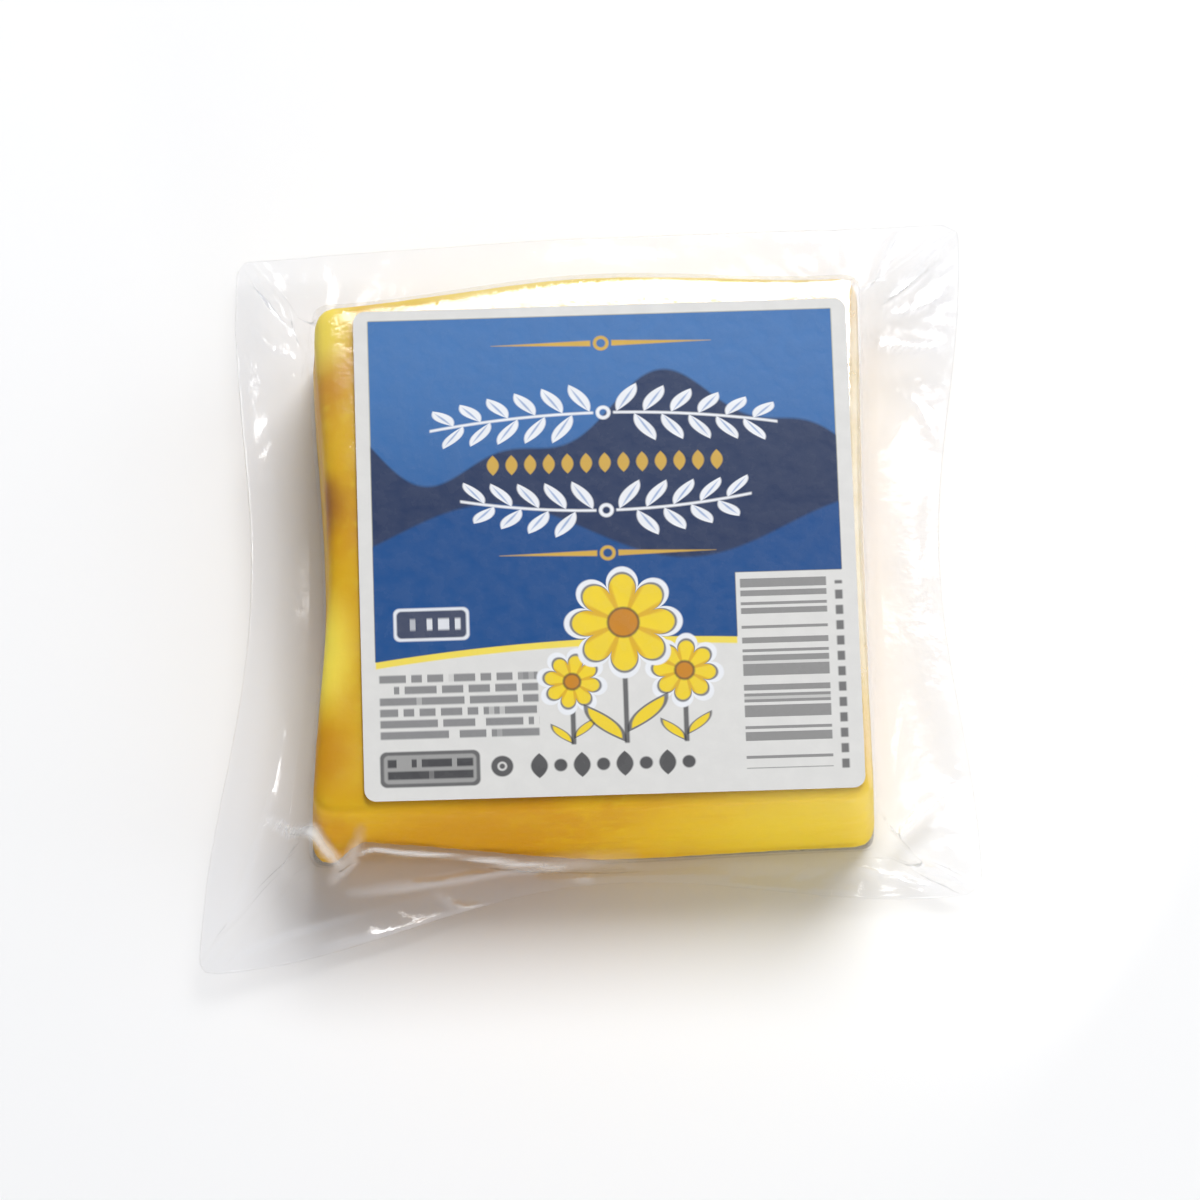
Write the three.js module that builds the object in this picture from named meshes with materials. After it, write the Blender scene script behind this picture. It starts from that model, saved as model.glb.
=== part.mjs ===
import * as THREE from 'three';

// A square-cut block of cheddar, sealed in a clear pouch, with a printed label on its upper face.
// It lies on its back: X runs to the right, Y to the back and Z up, in millimetres.
// Four-cornered outlines run anticlockwise from the front left corner, and lists of four sides
// run front, right, back, left.

// The block is cut by hand, so it is a little out of square and its sides bow
const block = {
  height: 26,
  corners: [[-46.2, -43.3], [43.7, -43.5], [44.8, 46.3], [-43.8, 43.8]],
  topBows: [0.2, -0.8, 2.7, -2.5],
  baseBows: [0.8, -0.2, 2.9, -2.1],
  baseSpread: 0.9,
  cornerRadius: 2.6,
  topEdgeRadius: 1.5,
  baseEdgeRadius: 0.8,
};

// The lower front edge was sliced off at a slant: highest near the left corner, running out to
// nothing near the middle
const slice = { left: -44.5, highest: -37.5, right: 4, height: 11, depth: 5.5 };

// The pouch's two films meet in a flat border round the block, pulled in between its four ears
const border = {
  corners: [[-65.2, -63.0], [60.9, -52.9], [62.3, 61.4], [-56.2, 60.2]],
  bows: [-8.6, -5.0, -0.8, -5.2],
  earRadius: 3.0,
  thickness: 0.8,
  lowest: 0.6,
};

// Height of the border where it leaves the block and at its rim, from the front left corner on:
// corner, side, corner, side and so on
const leavesAt = [10.5, 2.9, 3.6, 5.2, 8.2, 8.6, 6.4, 8.2];
const rimAt = [5.0, 2.4, 3.4, 4.2, 6.2, 9.4, 3.6, 6.6];

// How far the film stands off the block where it meets the border, in the same order as the heights
const standsOff = [5.0, 2.4, 3.0, 2.2, 3.4, 2.8, 2.4, 2.2];
// At each corner it stands off further as a pleat, this far and this many steps wide
const pleatReach = [2.5, 5.5, 6.5, 3.5];
const pleatWidth = 3.4;

// Waves of the border: their height, how many lie between two corners, where they start and how
// far they lean over on the way out
const longWave = { height: 0.7, count: 2, start: 1.1, lean: 0 };
const cornerCrinkle = { height: 0.9, count: 5, start: 0.6, lean: 2.2 };
// Past this share of the border's width the waves keep what height they have
const waveSettles = 0.8;

// The label is a sheet with small round corners
const label = {
  width: 79.6,
  length: 83.6,
  thickness: 0.3,
  cornerRadius: 2.0,
  centre: [2.4, -0.2],
  turnDegrees: -0.2,
  gap: 0.05,
};

// How finely the pouch is divided: steps along a side and round a corner, and rings from top to base
const sideSteps = 22;
const cornerSteps = 9;
const edgeRings = 3;
const wallRings = 4;
const lowerWallRings = 2;
const borderRings = 9;
const stepsPerQuarter = sideSteps + cornerSteps;
const stepsAround = 4 * stepsPerQuarter;

const cheeseInFilm = new THREE.MeshStandardMaterial({
  name: 'cheese_in_film',
  color: 0xe8b428,
  roughness: 0.35,
  metalness: 0,
});

const printedLabel = new THREE.MeshStandardMaterial({
  name: 'printed_label',
  color: 0x3a62ab,
  roughness: 0.4,
  metalness: 0,
});

// A closed outline of four bowed sides and round corners, always with the same number of points.
// It starts in the middle of the first corner, so that step 0 of every outline is that corner.
function bowedOutline(corners, bows, cornerRadius) {
  const points = [];
  for (let i = 0; i < 4; i += 1) {
    const before = new THREE.Vector2(...corners[(i + 3) % 4]);
    const corner = new THREE.Vector2(...corners[i]);
    const after = new THREE.Vector2(...corners[(i + 1) % 4]);
    const wayIn = corner.clone().sub(before).normalize();
    const wayOut = after.clone().sub(corner).normalize();
    const arcStart = corner.clone().addScaledVector(wayIn, -cornerRadius);
    const arcEnd = corner.clone().addScaledVector(wayOut, cornerRadius);
    const sideEnd = after.clone().addScaledVector(wayOut, -cornerRadius);
    const arc = new THREE.QuadraticBezierCurve(arcStart, corner, arcEnd);
    for (let k = 0; k < cornerSteps; k += 1) {
      points.push(arc.getPoint(k / cornerSteps));
    }
    const outwards = new THREE.Vector2(wayOut.y, -wayOut.x);
    for (let k = 0; k < sideSteps; k += 1) {
      const along = k / sideSteps;
      const bow = bows[i] * Math.sin(Math.PI * along) ** 2;
      points.push(arcEnd.clone().lerp(sideEnd, along).addScaledVector(outwards, bow));
    }
  }
  const halfCorner = Math.floor(cornerSteps / 2);
  return points.slice(halfCorner).concat(points.slice(0, halfCorner));
}

// Smooth blend round the outline of eight values, given at the corners and mid-sides in turn
function around(values, step) {
  const place = (step / stepsAround) * values.length;
  const first = Math.floor(place) % values.length;
  const second = (first + 1) % values.length;
  const share = place - Math.floor(place);
  const eased = (1 - Math.cos(Math.PI * share)) / 2;
  return values[first] * (1 - eased) + values[second] * eased;
}

function stepsToCorner(step) {
  const past = step % stepsPerQuarter;
  return Math.min(past, stepsPerQuarter - past);
}

// 1 at a corner of the pouch, falling to 0 at the middle of a side
function nearCorner(step) {
  return 1 - stepsToCorner(step) / (stepsPerQuarter / 2);
}

// How far the film stands off the block at this step
function standOffAt(step) {
  const corner = Math.round(step / stepsPerQuarter) % 4;
  const pleat = pleatReach[corner] * Math.exp(-((stepsToCorner(step) / pleatWidth) ** 2));
  return around(standsOff, step) + pleat;
}

function oneWave(wave, step, out) {
  const turn = (2 * Math.PI * step) / stepsPerQuarter;
  return wave.height * Math.sin(wave.count * turn + wave.start + wave.lean * out);
}

// The height of the border's waves, growing from none at the block towards the rim
function waveAt(step, out) {
  const crinkle = nearCorner(step) ** 2 * oneWave(cornerCrinkle, step, out);
  const growth = Math.sin(Math.PI * Math.min(out, waveSettles));
  return (oneWave(longWave, step, out) + crinkle) * growth;
}

// How far the slice takes the front side back at a place along it and a height
function slicedAway(x, y, z) {
  const rise = THREE.MathUtils.smoothstep(x, slice.left, slice.highest);
  const fall = THREE.MathUtils.clamp((slice.right - x) / (slice.right - slice.highest), 0, 1);
  const reach = slice.height * Math.min(rise, fall);
  return y < 0 ? Math.max(0, reach - z) * (slice.depth / slice.height) : 0;
}

// Gives the block's outline at any height, between that of its upper face and that of its base
function makeBlockOutline() {
  const { corners, topBows, baseBows, baseSpread, cornerRadius, height } = block;
  const spread = ([x, y]) => [x + baseSpread * Math.sign(x), y + baseSpread * Math.sign(y)];
  const top = bowedOutline(corners, topBows, cornerRadius);
  const base = bowedOutline(corners.map(spread), baseBows, cornerRadius);
  return (step, z) => {
    const point = base[step].clone().lerp(top[step], z / height);
    point.y += slicedAway(point.x, point.y, z);
    return point;
  };
}

// Each ring of the pouch gives a point for every step round it. The rings go from the flat top
// over the rounded edge, down the wall, out along the border, and back beneath it to the base.
function pouchRings() {
  const { height, topEdgeRadius, baseEdgeRadius } = block;
  const outline = makeBlockOutline();
  const rim = bowedOutline(border.corners, border.bows, border.earRadius);
  const rings = [];

  const addRing = (place) => {
    const ring = [];
    for (let step = 0; step < stepsAround; step += 1) {
      ring.push(place(step));
    }
    rings.push(ring);
  };

  // A point at a height on the wall, drawn in towards the middle by the rounding of an edge
  const onEdge = (step, z, drawnIn) => {
    const point = outline(step, z);
    point.addScaledVector(point.clone().normalize(), -drawnIn);
    return new THREE.Vector3(point.x, point.y, z);
  };

  // Where the pleated film meets the border at this step
  const springPoint = (step) => {
    const z = around(leavesAt, step);
    const point = outline(step, z);
    const outwards = rim[step].clone().sub(point).normalize();
    point.addScaledVector(outwards, standOffAt(step));
    return new THREE.Vector3(point.x, point.y, z);
  };

  const onBorder = (step, out) => {
    const start = springPoint(step);
    const end = new THREE.Vector3(rim[step].x, rim[step].y, around(rimAt, step));
    const point = start.lerp(end, out);
    point.z = Math.max(point.z + waveAt(step, out), border.lowest + border.thickness);
    return point;
  };

  const beneath = (point) => new THREE.Vector3(point.x, point.y, point.z - border.thickness);

  // Between the wall at a height and the border's spring, sagging inwards as stretched film does
  const onPleat = (step, fromZ, target, share) => {
    const start = onEdge(step, fromZ, 0);
    const point = start.lerp(target, share);
    const wall = outline(step, point.z);
    const sag = share * share;
    point.x = wall.x + (target.x - outline(step, target.z).x) * sag;
    point.y = wall.y + (target.y - outline(step, target.z).y) * sag;
    return point;
  };

  for (let k = 0; k <= edgeRings; k += 1) {
    const angle = (Math.PI / 2) * (k / edgeRings);
    const z = height - topEdgeRadius * (1 - Math.cos(angle));
    addRing((step) => onEdge(step, z, topEdgeRadius * (1 - Math.sin(angle))));
  }
  const wallTop = height - topEdgeRadius;
  for (let k = 1; k < wallRings; k += 1) {
    addRing((step) => onPleat(step, wallTop, onBorder(step, 0), k / wallRings));
  }
  for (let k = 0; k <= borderRings; k += 1) {
    addRing((step) => onBorder(step, k / borderRings));
  }
  for (let k = borderRings; k >= 0; k -= 1) {
    addRing((step) => beneath(onBorder(step, k / borderRings)));
  }
  for (let k = lowerWallRings - 1; k > 0; k -= 1) {
    const share = k / lowerWallRings;
    addRing((step) => onPleat(step, baseEdgeRadius, beneath(onBorder(step, 0)), share));
  }
  for (let k = 0; k <= edgeRings; k += 1) {
    const angle = (Math.PI / 2) * (k / edgeRings);
    const z = baseEdgeRadius * (1 - Math.sin(angle));
    addRing((step) => onEdge(step, z, baseEdgeRadius * (1 - Math.cos(angle))));
  }
  return rings;
}

// A closed surface through the rings, with a fan over the first one and under the last one
function shellThroughRings(rings) {
  const positions = [];
  const indices = [];
  for (const ring of rings) {
    for (const point of ring) {
      positions.push(point.x, point.y, point.z);
    }
  }
  for (let r = 0; r + 1 < rings.length; r += 1) {
    for (let step = 0; step < stepsAround; step += 1) {
      const next = (step + 1) % stepsAround;
      const a = r * stepsAround + step;
      const b = r * stepsAround + next;
      const c = a + stepsAround;
      const d = b + stepsAround;
      indices.push(a, c, b);
      indices.push(b, c, d);
    }
  }
  const addFan = (ring, firstIndex, faceUp) => {
    const middle = positions.length / 3;
    positions.push(0, 0, ring[0].z);
    for (let step = 0; step < stepsAround; step += 1) {
      const a = firstIndex + step;
      const b = firstIndex + ((step + 1) % stepsAround);
      indices.push(middle, faceUp ? a : b, faceUp ? b : a);
    }
  };
  addFan(rings[0], 0, true);
  addFan(rings[rings.length - 1], (rings.length - 1) * stepsAround, false);
  const geometry = new THREE.BufferGeometry();
  geometry.setAttribute('position', new THREE.Float32BufferAttribute(positions, 3));
  geometry.setIndex(indices);
  geometry.computeVertexNormals();
  return geometry;
}

function makePouch() {
  const pouch = new THREE.Mesh(shellThroughRings(pouchRings()), cheeseInFilm);
  pouch.name = 'pouch';
  return pouch;
}

function makeLabel() {
  const { width, length, thickness, cornerRadius, centre, turnDegrees, gap } = label;
  const right = width / 2;
  const back = length / 2;
  const outline = new THREE.Shape();
  outline.moveTo(cornerRadius - right, -back);
  outline.absarc(right - cornerRadius, cornerRadius - back, cornerRadius, -Math.PI / 2, 0);
  outline.absarc(right - cornerRadius, back - cornerRadius, cornerRadius, 0, Math.PI / 2);
  outline.absarc(cornerRadius - right, back - cornerRadius, cornerRadius, Math.PI / 2, Math.PI);
  outline.absarc(cornerRadius - right, cornerRadius - back, cornerRadius, Math.PI, 1.5 * Math.PI);
  const sheet = new THREE.ExtrudeGeometry(outline, {
    depth: thickness,
    bevelEnabled: false,
    curveSegments: 6,
  });
  const mesh = new THREE.Mesh(sheet, printedLabel);
  mesh.name = 'label';
  mesh.position.set(centre[0], centre[1], block.height + gap);
  mesh.rotation.z = THREE.MathUtils.degToRad(turnDegrees);
  return mesh;
}

// The origin is on the surface the pouch lies on, under the middle of its whole outline
function assemble() {
  const pack = new THREE.Group();
  pack.add(makePouch());
  pack.add(makeLabel());
  const middle = new THREE.Box3().setFromObject(pack).getCenter(new THREE.Vector3());
  pack.position.set(-middle.x, -middle.y, 0);
  return pack;
}

export default assemble();
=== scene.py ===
# A square block of cheddar sealed in a clear pouch, with a printed label stuck on its upper face
import math

import bmesh
import bpy
import numpy as np
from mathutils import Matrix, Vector, noise


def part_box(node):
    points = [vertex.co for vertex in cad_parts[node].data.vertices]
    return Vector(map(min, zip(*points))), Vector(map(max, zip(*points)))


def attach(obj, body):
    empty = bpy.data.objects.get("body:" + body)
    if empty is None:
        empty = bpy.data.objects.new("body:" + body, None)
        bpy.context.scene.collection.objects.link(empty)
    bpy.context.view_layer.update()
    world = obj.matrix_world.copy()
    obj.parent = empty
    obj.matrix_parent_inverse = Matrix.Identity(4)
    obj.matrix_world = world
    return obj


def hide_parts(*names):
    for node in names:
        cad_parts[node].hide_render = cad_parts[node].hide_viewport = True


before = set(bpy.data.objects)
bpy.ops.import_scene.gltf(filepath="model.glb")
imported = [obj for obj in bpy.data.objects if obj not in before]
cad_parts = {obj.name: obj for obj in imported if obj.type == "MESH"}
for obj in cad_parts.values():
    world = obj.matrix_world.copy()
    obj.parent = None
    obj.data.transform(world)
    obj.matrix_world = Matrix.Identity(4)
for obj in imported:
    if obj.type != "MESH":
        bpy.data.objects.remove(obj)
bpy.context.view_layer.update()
mm = 0.001  # metres in a millimetre

# The block of cheese: corners and sides run anticlockwise from the front left, in millimetres
block = {
    'height': 26,
    'corners': [(-46.2, -43.3), (43.7, -43.5), (44.8, 46.3), (-43.8, 43.8)],
    'topBows': [0.2, -0.8, 2.7, -2.5],
    'baseBows': [0.8, -0.2, 2.9, -2.1],
    'baseSpread': 0.9,
    'cornerRadius': 2.6,
    'topEdgeRadius': 1.5,
    'baseEdgeRadius': 0.8,
}

# Towards its edges the upper face slopes down a little, all round, and the slope fades out quickly
# below the face
shoulder = {'width': 5.0, 'drop': 0.5, 'fadePower': 8}

# The lower front edge is sliced off at a slant, highest near the left corner
slicedEdge = {'left': -44.5, 'highest': -37.5, 'right': 4, 'height': 11, 'depth': 5.5}

# The label's place on the block
labelSheet = {
    'width': 79.6,
    'length': 83.6,
    'thickness': 0.16,
    'cornerRadius': 1.9,
    'cornerSegments': 6,
    'gridStep': 2.0,
    'centre': (2.4, -0.2),
    'turnDegrees': -0.2,
    'sharpDegrees': 40,
    'ripple': 0.05,
    'rippleSize': 17,
    'rippleSeed': 3.3,
    'cornerLift': 0.12,
    'liftPower': 8,
}

labelLow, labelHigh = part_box("label")
labelMiddle = (labelLow + labelHigh) / 2
blockMiddle = Vector((
    labelMiddle.x - labelSheet['centre'][0] * mm,
    labelMiddle.y - labelSheet['centre'][1] * mm,
    0,
))


# Modelling helpers

def deselectAll():
    if bpy.context.mode != 'OBJECT':
        bpy.ops.object.mode_set(mode='OBJECT')
    bpy.ops.object.select_all(action='DESELECT')


def nameNew(name):
    thing = bpy.context.active_object
    thing.name = name
    thing.data.name = name
    return thing


def pick(thing, kind, wanted):
    # selects just the corners that pass the test, or the edges whose two ends pass it
    bpy.ops.mesh.select_mode(type=kind)
    bpy.ops.mesh.select_all(action='DESELECT')
    shape = bmesh.from_edit_mesh(thing.data)
    for element in shape.edges if kind == 'EDGE' else shape.verts:
        ends = element.verts if kind == 'EDGE' else [element]
        element.select = wanted(*(end.co for end in ends))
    shape.select_flush_mode()
    bmesh.update_edit_mesh(thing.data)


def applyModifier(thing, kind, **settings):
    change = thing.modifiers.new(kind.title(), kind)
    for key, value in settings.items():
        setattr(change, key, value)
    bpy.context.view_layer.objects.active = thing
    bpy.ops.object.modifier_apply(modifier=change.name)


def bakePlace(thing):
    # the finished piece sits at the origin, with its place in its mesh
    deselectAll()
    thing.select_set(True)
    bpy.context.view_layer.objects.active = thing
    bpy.ops.object.transform_apply(location=True, rotation=True, scale=True)
    bpy.ops.object.shade_smooth()


def smoothStep(x, low, high):
    share = np.clip((x - low) / (high - low), 0, 1)
    return share * share * (3 - 2 * share)


# Material helpers

usualNoise = (0.3, 0.7)  # nearly all of a noise's values lie between these


def feed(tree, socket, value):
    if isinstance(value, bpy.types.NodeSocket):
        tree.links.new(value, socket)
    else:
        socket.default_value = value


def addNode(tree, kind, values=None, **settings):
    node = tree.nodes.new('ShaderNode' + kind)
    for name, value in settings.items():
        setattr(node, name, value)
    for name, value in (values or {}).items():
        feed(tree, node.inputs[name], value)
    return node


def maths(tree, operation, *values, clamp=False):
    node = addNode(tree, 'Math', operation=operation, use_clamp=clamp)
    for i, value in enumerate(values):
        feed(tree, node.inputs[i], value)
    return node.outputs[0]


def vectors(tree, operation, *values):
    node = addNode(tree, 'VectorMath', operation=operation)
    for i, value in enumerate(values):
        feed(tree, node.inputs[i], value)
    return node.outputs['Value' if operation == 'LENGTH' else 'Vector']


def splitUp(tree, vector):
    return addNode(tree, 'SeparateXYZ', {0: vector}).outputs


def placeAt(tree, x, y, z=0.0):
    return addNode(tree, 'CombineXYZ', {0: x, 1: y, 2: z}).outputs[0]


def mixColours(tree, share, under, over):
    node = addNode(tree, 'Mix', data_type='RGBA')
    feed(tree, node.inputs[0], share)
    feed(tree, node.inputs[6], under)
    feed(tree, node.inputs[7], over)
    return node.outputs[2]


def remap(tree, value, fromLow, fromHigh, toLow, toHigh, smooth=True):
    kind = 'SMOOTHSTEP' if smooth else 'LINEAR'
    node = addNode(tree, 'MapRange', interpolation_type=kind)
    for i, entry in enumerate((value, fromLow, fromHigh, toLow, toHigh)):
        feed(tree, node.inputs[i], entry)
    return node.outputs[0]


def noiseAt(tree, place, scale, detail=3, roughness=0.5, stretch=None):
    if stretch:
        place = vectors(tree, 'MULTIPLY', place, stretch)
    node = addNode(tree, 'TexNoise', {
        'Vector': place, 'Scale': scale, 'Detail': detail, 'Roughness': roughness,
    })
    return node.outputs['Fac']


def bumps(tree, height, strength, depth):
    return addNode(tree, 'Bump', {'Height': height, 'Strength': strength, 'Distance': depth}).outputs[0]


def srgb(red, green, blue):
    # a colour read off a screen, 0 to 255, as the linear values that shaders take
    def linear(level):
        level /= 255
        return level / 12.92 if level <= 0.04045 else ((level + 0.055) / 1.055) ** 2.4
    return (linear(red), linear(green), linear(blue), 1)


def showShader(tree, shader):
    output = addNode(tree, 'OutputMaterial')
    tree.links.new(shader.outputs[0], output.inputs['Surface'])


def newMaterial(name):
    material = bpy.data.materials.new(name)
    material.use_nodes = True
    material.node_tree.nodes.clear()
    return material, material.node_tree


def newMask(name, places, numbers):
    # a group with a mask as its output, and what it is given
    group = bpy.data.node_groups.new(name, 'ShaderNodeTree')
    for titles, kind in ((places, 'NodeSocketVector'), (numbers, 'NodeSocketFloat')):
        for title in titles:
            group.interface.new_socket(name=title, in_out='INPUT', socket_type=kind)
    group.interface.new_socket(name='Mask', in_out='OUTPUT', socket_type='NodeSocketFloat')
    return group, group.nodes.new('NodeGroupInput').outputs


def useMask(tree, group, values):
    node = addNode(tree, 'Group', node_tree=group)
    for name, value in values.items():
        feed(tree, node.inputs[name], value)
    return node.outputs['Mask']


def millimetrePlace(tree, middle=(0, 0, 0), turn=0.0):
    # Object coordinates as millimetres from a middle point, turned by an angle
    where = addNode(tree, 'TexCoord').outputs['Object']
    mapping = addNode(tree, 'Mapping', {
        'Vector': where, 'Location': tuple(middle), 'Rotation': (0, 0, turn), 'Scale': (mm, mm, mm),
    }, vector_type='TEXTURE')
    return mapping.outputs[0]


# The block's outline at a height, for the cheese and for the film that clings to it

finer = 5  # film steps for each step of the solid model
steps = {'side': 22 * finer, 'corner': 9 * finer, 'halfCorner': 4 * finer}
quarterSteps = steps['side'] + steps['corner']
stepsAround = 4 * quarterSteps
everyStep = np.arange(stepsAround)


def bowedOutline(corners, bows, cornerRadius):
    # a closed outline of four bowed sides and round corners, from the middle of the first corner on
    points = []
    for i in range(4):
        before, corner, after = (Vector(corners[(i + k) % 4]) for k in (-1, 0, 1))
        wayIn = (corner - before).normalized()
        wayOut = (after - corner).normalized()
        arcStart = corner - wayIn * cornerRadius
        arcEnd = corner + wayOut * cornerRadius
        sideEnd = after - wayOut * cornerRadius
        for k in range(steps['corner']):
            t = k / steps['corner']
            points.append(arcStart * (1 - t) ** 2 + corner * 2 * t * (1 - t) + arcEnd * t ** 2)
        outwards = Vector((wayOut.y, -wayOut.x))
        for k in range(steps['side']):
            along = k / steps['side']
            bow = bows[i] * math.sin(math.pi * along) ** 2
            points.append(arcEnd.lerp(sideEnd, along) + outwards * bow)
    return np.roll(np.array(points), -steps['halfCorner'], axis=0)


def spreadCorners():
    spread = block['baseSpread']
    return [(x + math.copysign(spread, x), y + math.copysign(spread, y)) for x, y in block['corners']]


def slicedAway(x, y, z):
    # how far the slant slice takes the front side back
    cut = slicedEdge
    rise = smoothStep(x, cut['left'], cut['highest'])
    fall = np.clip((cut['right'] - x) / (cut['right'] - cut['highest']), 0, 1)
    reach = cut['height'] * np.minimum(rise, fall)
    return np.where(y < 0, np.maximum(0, reach - z) * cut['depth'] / cut['height'], 0)


def shoulderDrop(inside, up):
    # how far the block has sunk at a distance inside its outline, at a share of its height
    return shoulder['drop'] * max(0, 1 - inside / shoulder['width']) ** 2 * up ** shoulder['fadePower']


topOutline = bowedOutline(block['corners'], block['topBows'], block['cornerRadius'])
baseOutline = bowedOutline(spreadCorners(), block['baseBows'], block['cornerRadius'])


def outlineAt(z):
    # the block's outline at one height, or at a height for each step
    share = np.broadcast_to(np.asarray(z, float) / block['height'], stepsAround)[:, None]
    points = baseOutline * (1 - share) + topOutline * share
    points[:, 1] += slicedAway(points[:, 0], points[:, 1], share[:, 0] * block['height'])
    return points


# The cheese

cheese = {
    'halfSize': (44.3, 43.3),  # of the plain box, before it is cut to shape
    'bowPower': 3,  # how soon the sides' bows fade out towards the middle
    'sliceFrom': 0.55,  # of the way from the middle to the front side
    'clearOfFilm': 0.22,
    'cornerBevel': 3.4,
    'topBevel': 1.8,
    'baseBevel': 1.0,
    'bevelSegments': 4,
    'meshStep': 0.9,
    'lumpSize': 9,
    'lumpDepth': 0.3,
    'crumbSize': 2.4,
    'crumbDepth': 0.1,
}


def cutToShape(point):
    # carries a point of the plain box to its place in the hand-cut block
    halfWidth, halfDepth = cheese['halfSize']
    fade = cheese['bowPower']
    u = point.x / (halfWidth * mm)
    v = point.y / (halfDepth * mm)
    z = point.z / mm
    up = z / block['height']
    corners = [Vector(low).lerp(Vector(high), up) for low, high in zip(spreadCorners(), block['corners'])]
    front = corners[0].lerp(corners[1], (u + 1) / 2)
    back = corners[3].lerp(corners[2], (u + 1) / 2)
    place = front.lerp(back, (v + 1) / 2)
    bows = [low * (1 - up) + high * up for low, high in zip(block['baseBows'], block['topBows'])]
    alongX, alongY = (math.sin(math.pi * (min(1, abs(w)) + 1) / 2) ** 2 for w in (u, v))
    place.y -= bows[0] * alongX * max(0, -v) ** fade
    place.y += bows[2] * alongX * max(0, v) ** fade
    place.x += bows[1] * alongY * max(0, u) ** fade
    place.x -= bows[3] * alongY * max(0, -u) ** fade
    place.y += float(slicedAway(place.x, place.y, z)) * float(smoothStep(-v, cheese['sliceFrom'], 1))
    inside = min((1 - abs(u)) * halfWidth, (1 - abs(v)) * halfDepth)
    sunk = shoulderDrop(inside, up)
    return Vector((place.x * mm, place.y * mm, point.z - sunk * mm)) + blockMiddle


def makeCheese():
    deselectAll()
    clear = cheese['clearOfFilm']
    halfHeight = block['height'] / 2
    bpy.ops.mesh.primitive_cube_add(size=1, location=(0, 0, halfHeight * mm))
    thing = nameNew('cheeseBlock')
    thing.scale = [2 * (half - clear) * mm for half in (*cheese['halfSize'], halfHeight)]
    bakePlace(thing)
    top = (halfHeight + 1) * mm
    bpy.ops.object.mode_set(mode='EDIT')
    pick(thing, 'EDGE', lambda a, b: abs(a.z - b.z) > mm)
    bpy.ops.mesh.bevel(offset=cheese['cornerBevel'] * mm, segments=cheese['bevelSegments'])
    pick(thing, 'EDGE', lambda a, b: a.z > top and b.z > top)
    bpy.ops.mesh.bevel(offset=cheese['topBevel'] * mm, segments=cheese['bevelSegments'])
    base = (clear + 0.01) * mm
    pick(thing, 'EDGE', lambda a, b: a.z < base and b.z < base)
    bpy.ops.mesh.bevel(offset=cheese['baseBevel'] * mm, segments=cheese['bevelSegments'])
    bpy.ops.object.mode_set(mode='OBJECT')
    applyModifier(thing, 'REMESH', mode='VOXEL', voxel_size=cheese['meshStep'] * mm)
    for corner in thing.data.vertices:
        corner.co = cutToShape(corner.co)
    for kind, size, depth in (('lump', 'lumpSize', 'lumpDepth'), ('crumb', 'crumbSize', 'crumbDepth')):
        texture = bpy.data.textures.new(kind, 'CLOUDS')
        texture.noise_scale = cheese[size] * mm
        applyModifier(thing, 'DISPLACE', texture=texture, strength=cheese[depth] * mm, mid_level=1.0)
    bakePlace(thing)
    return thing


cheeseBlock = makeCheese()
print('cheese block shaped,', len(cheeseBlock.data.vertices), 'points')


# The film pouch

film = {
    'corners': [(-65.2, -63.0), (60.9, -52.9), (62.3, 61.4), (-56.2, 60.2)],
    'bows': [-8.6, -5.0, -0.8, -5.2],
    'earRadius': 3.0,
    'thickness': 0.15,
    'lowest': 1.4,
    # round the pouch, at its front left corner, the middle of its front side, the next corner and so
    # on: the height where the film leaves the block, the rim's height, how far the border's start
    # stands off, how much the slope between sags, and how strong the painted glare is at the top, a milky
    # sheen that stands in for the lamp's reflection
    'leavesAt': [10.5, 2.9, 3.6, 5.2, 8.2, 8.6, 6.4, 8.2],
    'rimAt': [5.0, 2.4, 3.4, 4.2, 6.2, 9.4, 3.6, 6.6],
    'standsOff': [5.0, 2.4, 3.0, 2.2, 3.4, 2.8, 2.4, 2.2],
    'sag': [3.0, 4.5, 2.5, 3.5, 2.5, 3.5, 2.5, 3.5],
    'glareSides': [0.0, 0.0, 0.1, 0.78, 0.65, 0.35, 0.1, 0.0],
    'glareWidth': 13.0,
    'glareFalls': 1.3,
    # corner after corner, how far the film's pleats stand off
    'pleatReach': [2.5, 5.5, 6.5, 3.5],
    'pleatWidth': 0.11,  # of the way from one corner to the next
    'slopeSlack': 0.7,
    'slackPower': 1.5,
    'slackWithin': 0.25,  # of the border's width, until it is wholly slack
    'whiteFrom': 0.125,  # creases show their full white from this slackness on
    'longWave': {'height': 0.7, 'count': 2, 'start': 1.1, 'lean': 0},
    'cornerCrinkle': {'height': 0.9, 'count': 5, 'start': 0.6, 'lean': 2.2},
    'waveSettles': 0.8,
    'topRings': 15,
    'topRingStep': 0.9,
    'edgeRings': 5,
    'wallRings': 30,
    'borderRings': 36,
    'lowerWallRings': 6,
    'baseRings': 3,
    'sealWidth': 4.8,
    'sealEdge': 0.4,
}

rimOutline = bowedOutline(film['corners'], film['bows'], film['earRadius'])
toCorner = (everyStep / quarterSteps + 0.5) % 1 - 0.5  # from the nearest corner, in quarters
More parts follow.
